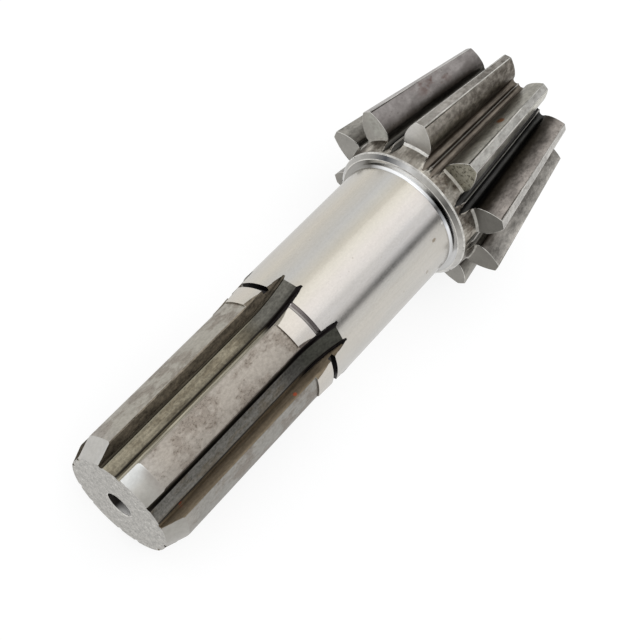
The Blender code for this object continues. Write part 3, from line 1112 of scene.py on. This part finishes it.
def shoulder_face(f):
    """Polished bearing shoulder, in light and dark fans round the axis, painted reflections."""
    # Painted reflections: light and dark fans by angle round the axis.
    f.tone = f.round_the_axis(
        (0.40, 0.06),
        (-70, 0.30, 0.06), (-53, 0.14, 0.08), (-35, 0.76, 0.0), (-16, 1.0, -0.02),
        (-4, 0.94, -0.02), (7, 0.79, -0.01), (26, 0.07, 0.04), (38, 0.32, -0.02),
        (48, 0.72, -0.02), (67, 0.55, 0.0),
    )
    f.shade(0.8 + f.rings(1.6) * 0.4)
    f.surface(0.14)


def collar_rim(f):
    """Smooth chamfer round the collar, in the same fans of painted reflection turned a little."""
    # Painted reflections: light and dark fans by angle round the axis.
    f.tone = f.round_the_axis(
        (0.40, 0.06),
        (-70, 0.36, 0.06), (-53, 0.30, 0.06), (-34, 0.075, -0.08), (-22, 0.34, 0.02),
        (-13, 0.58, 0.02), (-3, 0.45, 0.06), (7, 0.34, 0.08), (28, 0.10, 0.08),
        (48, 0.24, 0.08), (67, 0.42, 0.06),
    )
    cloud = f.blotches(0.4, 0.4)
    f.shade(0.9 + cloud * 0.2)
    f.surface(0.16)


def neck(f):
    """Neck behind the teeth, brown-grey, with scratches along it and dark specks."""
    f.rim(0.7)
    mottle = f.blotches(0.28, 0.26)
    scratches = f.blotches(1.5, 0.2)
    fine = f.blotches(1.2, 1.0)
    bright_side = f.facing(TEETH["upper"], 20.0)
    f.tone = f.mix(mottle * (1.0 - bright_side * 0.4), (0.38, 0.355, 0.31), (0.085, 0.066, 0.05))
    f.shade(0.55 + scratches * 0.45 + fine * 0.45)
    specks = f.specks(0.7, 0.7, 0.22) * (0.3 + mottle * 0.7) * (1.0 - bright_side)
    f.stain(specks * 0.8, (0.03, 0.022, 0.015))
    f.surface(0.3, scratches + fine, 0.008)


def heel_fillet(f):
    """Round corner between the neck and the backs of the teeth, with a painted reflection,
    brightest under the uppermost tooth.
    """
    # Painted reflection: the fillet lightest under the uppermost tooth.
    f.tone = f.by_tooth(
        (0.26, 0.1),
        upper=(0.60, 0.06), front=(0.34, 0.12), near=(0.30, 0.08),
    )
    f.shade(0.8 + f.blotches(0.6, 0.6) * 0.4)
    f.surface(0.2)


def heel_face(f):
    """Turned backs of the teeth, lighter and darker tooth by tooth, partly painted light by the
    way each faces and partly stains.
    """
    f.rim(0.6)
    # Partly painted light: the uppermost tooth's back light, the near one's dark.
    f.tone = f.by_tooth(
        (0.27, 0.08),
        far=(0.27, 0.09), upper=(0.60, 0.04), front=(0.43, 0.418, 0.345), near=(0.125, 0.1),
        low=(0.17, 0.10),
    )
    cloud = f.blotches(0.2, 0.2)
    grain = f.blotches(1.2, 1.2)
    dirty = f.facing(TEETH["front"], 20.0, soft=0.3)
    f.shade(0.88 + cloud * 0.16 + grain * 0.08)
    smudge = f.facing(-49.0, 9.0, soft=0.7) * f.blotches(0.6, 0.6)
    f.stain(smudge * 0.6, (0.42, 0.425, 0.38))
    specks = f.blotches(1.0, 1.0, detail=5, rough=0.75) * dirty
    f.stain(f.between(specks, 0.5, 0.9) * 0.8, (0.06, 0.053, 0.04))
    f.surface(0.3, grain, 0.006)


def red_stain(f):
    """Dark red stain near the toe of one tooth."""
    spots = f.between(f.noise(0.5, 0.3, detail=4), 0.42, 0.66)
    part = f.facing(-51.0, 7.0) * f.along(133.0, 141.0)
    part = part * f.along(151.0, 146.0)
    f.stain(part * spots * 0.65, (0.085, 0.040, 0.031))


def tooth_flank(f):
    """Flanks light along the tip and black towards the root, a painted shade in the tooth spaces,
    with painted highlights on some, stains and fine pits.
    """
    f.rim(0.8)
    high = f.tooth_height()
    side = f.between(f.tooth_side(), -0.5, 0.5)
    # The flanks' light colour tooth by tooth, partly painted light.
    light = f.by_tooth(
        (0.25, 0.11),
        far=(0.262, 0.242, 0.232), upper=(0.43, 0.396, 0.345), front=(0.31, 0.297, 0.258),
        near=(0.34, 0.306, 0.278), low=(0.43, 0.405, 0.37),
    )
    mottle = f.blotches(0.24, 0.1)
    patches = f.blotches(0.75, 0.5, detail=4, rough=0.6)
    fine = f.blotches(1.1, 0.8)
    lower = f.by_tooth((0.03, 0.025, 0.02), upper=(0.05, 0.04, 0.03), front=(0.08, 0.067, 0.05))
    # Painted shade: how far up the flanks the black reaches, less in the space facing up and more
    # in the spaces at 46 and 84 degrees.
    lit_gap = f.facing(0.0, 19.0) * 2.2
    shaded_gap = f.facing(46.0, 13.5) * 3.0 + f.facing(84.0, 12.0) * 1.2
    depth = f.between(high + (mottle - 0.5) * 1.6 + lit_gap - shaded_gap, 21.2, 28.2)
    f.tone = f.mix(depth, lower, light)
    # Painted highlights on flanks of the front, upper and near teeth.
    f.stain(side * f.facing(26.0, 9.0) * 0.75, (0.64, 0.62, 0.56))
    f.stain((1.0 - side) * f.facing(-25.0, 8.0) * 0.7, (0.58, 0.555, 0.50))
    near_tip = side * f.facing(60.0, 8.0) * f.between(high, 25.0, 27.5)
    f.stain(near_tip * 0.8, (0.62, 0.59, 0.55))
    calm = f.facing(-52.0, 16.0)
    f.shade(1.0 + (mottle * 0.36 + fine * 0.42 - 0.38) * (1.0 - calm * 0.45))
    worn = f.facing(-10.0, 9.0) * side * f.between(high, 29.4, 27.6)
    f.stain(worn * (0.30 + patches * 0.42), (0.075, 0.06, 0.047))
    spotted = calm * f.blotches(0.36, 0.22, detail=4, rough=0.5)
    f.stain(spotted * 0.42, (0.10, 0.084, 0.08))
    pits = f.specks(0.8, 0.6, 0.26) * f.between(mottle, 0.3, 0.7) * f.facing(0.0, 70.0)
    f.stain(pits * 0.5, (0.05, 0.04, 0.03))
    toe_pits = f.along(118.0, 148.0) * f.facing(-14.0, 18.0)
    f.stain(toe_pits * (0.25 + patches * 0.5), (0.05, 0.04, 0.03))
    red_stain(f)
    f.stain(f.patch(141.3, 11.0, 23.4, 3.2, 2.8), (0.24, 0.11, 0.05))
    f.surface(0.28 + mottle * 0.08, fine, 0.006)


def tip_land(f):
    """Turned tips of the teeth, rubbed and lightly stained, lighter and darker tooth by tooth,
    partly painted light.
    """
    # Partly painted light: the tips lighter and darker tooth by tooth, lightest on the near one.
    f.tone = f.by_tooth(
        (0.31, 0.08),
        far=(0.27, 0.25, 0.235), upper=(0.33, 0.31, 0.28), front=(0.38, 0.37, 0.345),
        near=(0.42, 0.405, 0.38),
    )
    mottle = f.blotches(0.3, 0.13)
    grain = f.blotches(1.3, 1.0)
    patches = f.blotches(0.75, 0.5, detail=4, rough=0.6)
    toe_pits = f.along(127.0, 152.0) * f.facing(TEETH["upper"], 16.0)
    f.shade(0.66 + mottle * 0.42 + grain * 0.30)
    f.stain(f.between(patches, 0.4, 0.9) * 0.35, (0.14, 0.12, 0.10))
    f.stain(toe_pits * (0.25 + patches * 0.5), (0.06, 0.05, 0.038))
    dull = f.facing(TEETH["upper"], 9.0) * f.along(127.0, 121.0)
    f.stain(dull * 0.4, (0.22, 0.205, 0.18))
    red_stain(f)
    f.surface(0.28, grain, 0.006)


def tooth_edge(f):
    """Rounded edges of the teeth, brighter than the faces beside them, partly rubbed bare and
    partly a painted highlight, brightest on the near tooth.
    """
    mottle = f.blotches(0.4, 0.12)
    grain = f.blotches(1.3, 0.9)
    # Partly painted highlight, brightest on the near tooth.
    f.tone = f.by_tooth((0.44, 0.07), near=(0.50, 0.48, 0.45))
    f.shade(0.48 + mottle * 0.7 + grain * 0.3)
    f.surface(0.24)


def tooth_root(f):
    """Bottom of the tooth spaces, dark with painted shade, darkest from 24 to 48 degrees, but for
    a painted highlight along the ridge in the middle.
    """
    f.rim(0.6)
    mottle = f.blotches(0.3, 0.1)
    fine = f.blotches(1.1, 0.5)
    # Painted shade: darkness of each tooth space by its angle round the axis.
    f.tone = f.round_the_axis(
        (0.09, 0.12),
        (-80, 0.12, 0.12), (-60, 0.12, 0.12), (-48, 0.06, 0.12), (-24, 0.06, 0.12),
        (-12, 0.135, 0.115, 0.094), (12, 0.135, 0.115, 0.094), (24, 0.035, 0.05),
        (48, 0.035, 0.05), (60, 0.10, 0.12),
    )
    f.shade(0.5 + mottle * 0.6 + fine * 0.4)
    # Painted highlight: a bright line along the ridge between the channels.
    ridge = f.between(f.off_middle_of_gap(), 0.09, 0.02)
    f.stain(ridge * 0.85, (0.58, 0.545, 0.51))
    f.surface(0.3)


def toe_face(f):
    """Plain turned face at the small end."""
    f.rim(0.7)
    rings = f.rings(1.8)
    mottle = f.blotches(0.25, 0.25)
    f.tone = grey(0.36, 0.08)
    f.shade(0.65 + mottle * 0.3 + rings * 0.4)
    f.surface(0.32, rings, 0.006)


def worn_edge(f):
    """Bare metal along the broken edges."""
    wear = f.blotches(0.5, 0.3)
    f.tone = grey(0.52, 0.06)
    f.shade(0.75 + wear * 0.5)
    f.surface(0.24)


FINISHES = (
    journal, spline_land, groove_floor, groove_relief, driven_wall, idle_wall, end_face,
    end_chamfer, drilled_hole, ring_groove, undercut, shoulder_face, collar_rim, neck,
    heel_fillet, heel_face, tooth_flank, tip_land, tooth_edge, tooth_root, toe_face, worn_edge,
)


def steel_finishes():
    """Material of each zone, by the zone's name."""
    finishes = {}
    for paint in FINISHES:
        zone = paint.__name__
        finish = Finish("ground_journal" if zone == "journal" else zone)
        paint(finish)
        finishes[zone] = finish.material
    return finishes


# ---- Studio ----

MIDDLE_OF_SHAFT = Vector((0.0, 0.0, 0.02))
FLOOR_HALF_SIZE = 4.0

# Places are azimuth and elevation in degrees and distance in metres, sizes width and height
SOFTBOX_PLACE = (-2.0, 72.0, 1.6)
SOFTBOX_SIZE = (1.3, 1.5)
SOFTBOX_RADIANCE = 0.40
CARD_PLACE = (-57.0, 28.8, 2.2)
CARD_SIZE = (1.6, 0.38)

# Camera, at the photograph's own angle: millimetres, metres and degrees
SENSOR_WIDTH = 36.0
CAMERA_LENS = 74.5445
CAMERA_PLACE = (-0.197248, -0.043085, 0.308314)
CAMERA_TURN = (30.0767, -16.5247, -52.0433)


def sheet(name, half_size, material, constants):
    """Flat square of a plain material."""
    bm = bmesh.new()
    bmesh.ops.create_grid(bm, x_segments=1, y_segments=1, size=half_size)
    square = new_object(name, bm)
    plain = bpy.data.materials.new(material)
    plain.use_nodes = True
    for socket, value in constants.items():
        plain.node_tree.nodes["Principled BSDF"].inputs[socket].default_value = value
    square.data.materials.append(plain)
    return square


def pale_floor():
    paint = {
        "Base Color": (0.22, 0.22, 0.22, 1.0),
        "Roughness": 0.9,
        "Specular IOR Level": 0.1,
        "Emission Color": (1.0, 1.0, 1.0, 1.0),
        "Emission Strength": 0.81,
    }
    floor = sheet("floor", FLOOR_HALF_SIZE, "pale_floor", paint)


def towards(azimuth, elevation):
    """Direction from the shaft, both angles in degrees."""
    a, e = math.radians(azimuth), math.radians(elevation)
    return Vector((math.cos(a) * math.cos(e), math.sin(a) * math.cos(e), math.sin(e)))


def soft_light(name, azimuth, elevation, distance, width, height, radiance):
    """A soft box aimed at the middle of the shaft."""
    light = bpy.data.lights.new(name, "AREA")
    light.shape = "RECTANGLE"
    light.size, light.size_y = width, height
    light.energy = radiance * math.pi * width * height
    lamp = in_scene(name, light)
    direction = towards(azimuth, elevation)
    lamp.location = direction * distance + MIDDLE_OF_SHAFT
    lamp.rotation_euler = direction.to_track_quat("Z", "Y").to_euler()


def dark_card(azimuth, elevation, distance, width, height):
    """A black card beside the light, seen only in the steel."""
    paint = {"Base Color": (0.02, 0.02, 0.02, 1.0), "Roughness": 1.0}
    card = sheet("dark_card", 0.5, "black_card", paint)
    direction = towards(azimuth, elevation)
    turn = direction.to_track_quat("Z", "Y").to_matrix().to_4x4()
    stretch = Matrix.Diagonal((width, height, 1.0, 1.0))
    card.data.transform(Matrix.Translation(direction * distance) @ turn @ stretch)
    card.visible_camera = False
    card.visible_shadow = False
    card.visible_diffuse = False


def studio():
    pale_floor()
    world = bpy.data.worlds.new("studio_air")
    world.use_nodes = True
    background = world.node_tree.nodes["Background"]
    background.inputs["Color"].default_value = (0.98, 0.99, 1.0, 1.0)
    background.inputs["Strength"].default_value = 1.0
    bpy.context.scene.world = world
    soft_light("overhead_softbox", *SOFTBOX_PLACE, *SOFTBOX_SIZE, SOFTBOX_RADIANCE)
    dark_card(*CARD_PLACE, *CARD_SIZE)
    bpy.context.scene.view_settings.view_transform = "Standard"


def camera():
    data = bpy.data.cameras.new("camera")
    data.sensor_width = SENSOR_WIDTH
    data.lens = CAMERA_LENS
    data.clip_start = 0.01
    obj = in_scene("camera", data)
    obj.location = CAMERA_PLACE
    obj.rotation_euler = [math.radians(angle) for angle in CAMERA_TURN]
    bpy.context.scene.camera = obj


# ---- The scene ----


def main():
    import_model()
    finishes = steel_finishes()
    shaft = cut_shaft(finishes["journal"])
    join_close_points(shaft)
    names = share_out_finishes(shaft, finishes)
    shaft = round_edges(shaft, names)
    shaft.data.transform(LAID_DOWN)
    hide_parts("pinion_shaft")
    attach(shaft, "root")
    studio()
    camera()


main()
